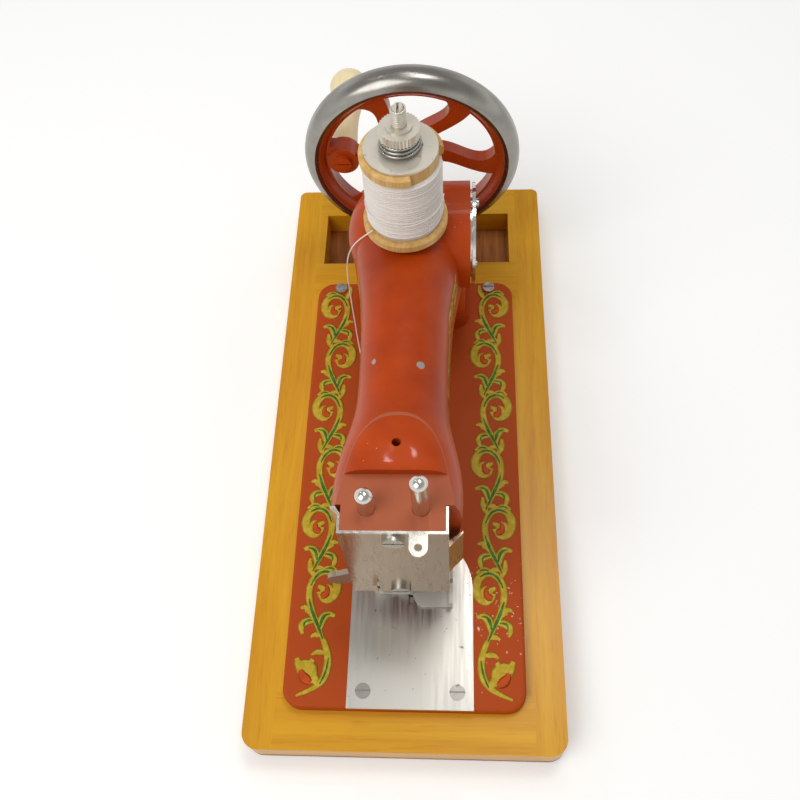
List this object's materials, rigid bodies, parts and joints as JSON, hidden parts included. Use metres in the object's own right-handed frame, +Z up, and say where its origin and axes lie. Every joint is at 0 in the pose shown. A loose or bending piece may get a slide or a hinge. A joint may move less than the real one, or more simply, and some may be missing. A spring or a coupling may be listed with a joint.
{
  "type": "hand-cranked sewing machine",
  "caption": "Small hand-cranked chain-stitch sewing machine: ornamented enamel casting and bed on a wooden base, geared looper drive, spool with tension nut.",
  "frame": {"origin": "centre of the wooden base's underside", "axes": "+Z up, +Y from the needle end to the handwheel, +X to the operator's side"},
  "size_m": [0.115, 0.2772, 0.144],
  "materials": {
    "wood": "lacquered beech, clear amber varnish",
    "red_enamel": "gloss red-brown enamel with gold and green scroll ornament",
    "wheel_iron": "red enamel on hub and spokes, rim ground bright",
    "nickel": "polished nickel plate",
    "steel": "turned and oiled steel",
    "spring_steel": "blued spring wire",
    "brass": "turned brass",
    "ivory_plastic": "moulded cream plastic",
    "birch": "turned birch, bare",
    "white_thread": "white cotton thread"
  },
  "bodies": {
    "frame": {"base_side_rail_left": "wood", "base_side_rail_right": "wood", "base_front_rail": "wood", "base_cross_rail": "wood", "base_rear_rail": "wood", "base_board": "wood", "arm_casting": "red_enamel", "bed_plate": "red_enamel", "face_cover": "nickel", "needle_plate": "nickel", "side_cover": "nickel", "spool_washer": "nickel", "spool_pin": "nickel", "board_nails": "steel", "bed_screws": "steel", "needle_plate_screws": "steel", "pillar_bolts": "steel", "side_cover_screws": "steel", "face_cover_screws": "steel", "idler_axle_upper": "steel", "idler_axle_lower": "steel", "feed_guide": "steel", "lifter_pin": "steel", "presser_spring": "spring_steel", "tension_spring": "spring_steel", "front_bush": "brass", "rear_bush": "brass", "lower_front_bush": "brass", "lower_rear_bush": "brass", "thread_tail": "white_thread"},
    "crank": {"main_shaft": "steel", "crank_disc": "steel", "main_pinion": "steel", "handwheel": "wheel_iron", "wheel_nut": "steel", "handle_axle": "red_enamel"},
    "handle": {"handle_grip": "ivory_plastic"},
    "idler_upper": {"idler_gear_upper": "steel"},
    "idler_lower": {"idler_gear_lower": "steel"},
    "looper_drive": {"lower_shaft": "steel", "lower_pinion": "steel", "feed_cam": "steel", "looper": "steel"},
    "needle_unit": {"needle_bar": "nickel", "needle_bar_yoke": "steel", "needle_clamp": "steel", "needle": "steel"},
    "presser_unit": {"presser_bar": "nickel", "presser_collar": "steel", "presser_foot": "nickel", "presser_foot_screw": "steel"},
    "lifter": {"presser_lifter": "nickel"},
    "feed": {"feed_dog": "steel"},
    "spool_unit": {"spool": "birch", "thread_core": "white_thread", "thread_winding": "white_thread"},
    "nut": {"tension_nut": "nickel"}
  },
  "joints": [
    {"name": "wheel_turn", "type": "hinge", "parent": "frame", "child": "crank", "pos_m": [0, 0.0998, 0.0675], "axis": [0, 1, 0], "continuous": true},
    {"name": "handle_spin", "type": "hinge", "parent": "crank", "child": "handle", "pos_m": [-0.02868, 0.104, 0.0685], "axis": [0, 1, 0], "continuous": true},
    {"name": "upper_idler_turn", "type": "hinge", "parent": "frame", "child": "idler_upper", "pos_m": [0.00118, 0.057, 0.05031], "axis": [0, 1, 0], "continuous": true},
    {"name": "lower_idler_turn", "type": "hinge", "parent": "frame", "child": "idler_lower", "pos_m": [0.00282, 0.057, 0.0265], "axis": [0, 1, 0], "continuous": true},
    {"name": "looper_turn", "type": "hinge", "parent": "frame", "child": "looper_drive", "pos_m": [0.004, 0, 0.0093], "axis": [0, 1, 0], "continuous": true},
    {"name": "needle_slide", "type": "slide", "parent": "frame", "child": "needle_unit", "axis": [0, 0, 1], "range_m": [-0.014, 0]},
    {"name": "lifter_swing", "type": "hinge", "parent": "frame", "child": "lifter", "pos_m": [-0.0134, -0.075, 0.049], "axis": [0, 1, 0], "range_deg": [0, 80]},
    {"name": "presser_lift", "type": "slide", "parent": "frame", "child": "presser_unit", "axis": [0, 0, 1], "range_m": [0, 0.005], "stiffness_N_per_m": 150, "springref_m": -0.004, "deforming": ["presser_spring"]},
    {"name": "feed_slide", "type": "slide", "parent": "frame", "child": "feed", "axis": [1, 0, 0], "range_m": [-0.0015, 0.0015]},
    {"name": "spool_spin", "type": "hinge", "parent": "frame", "child": "spool_unit", "pos_m": [0, 0.046, 0.107], "axis": [0, 0, 1], "continuous": true},
    {"name": "nut_turn", "type": "hinge", "parent": "frame", "child": "nut", "pos_m": [0, 0.046, 0.134], "axis": [0, 0, 1], "range_deg": [-360, 360]}
  ],
  "couplings": [
    {"joint": "upper_idler_turn", "follows": "wheel_turn", "ratio": -0.44444},
    {"joint": "lower_idler_turn", "follows": "wheel_turn", "ratio": 0.44444},
    {"joint": "looper_turn", "follows": "wheel_turn", "ratio": -1},
    {"joint": "lifter_swing", "follows": "presser_lift", "rad_per_m": 279.25}
  ]
}
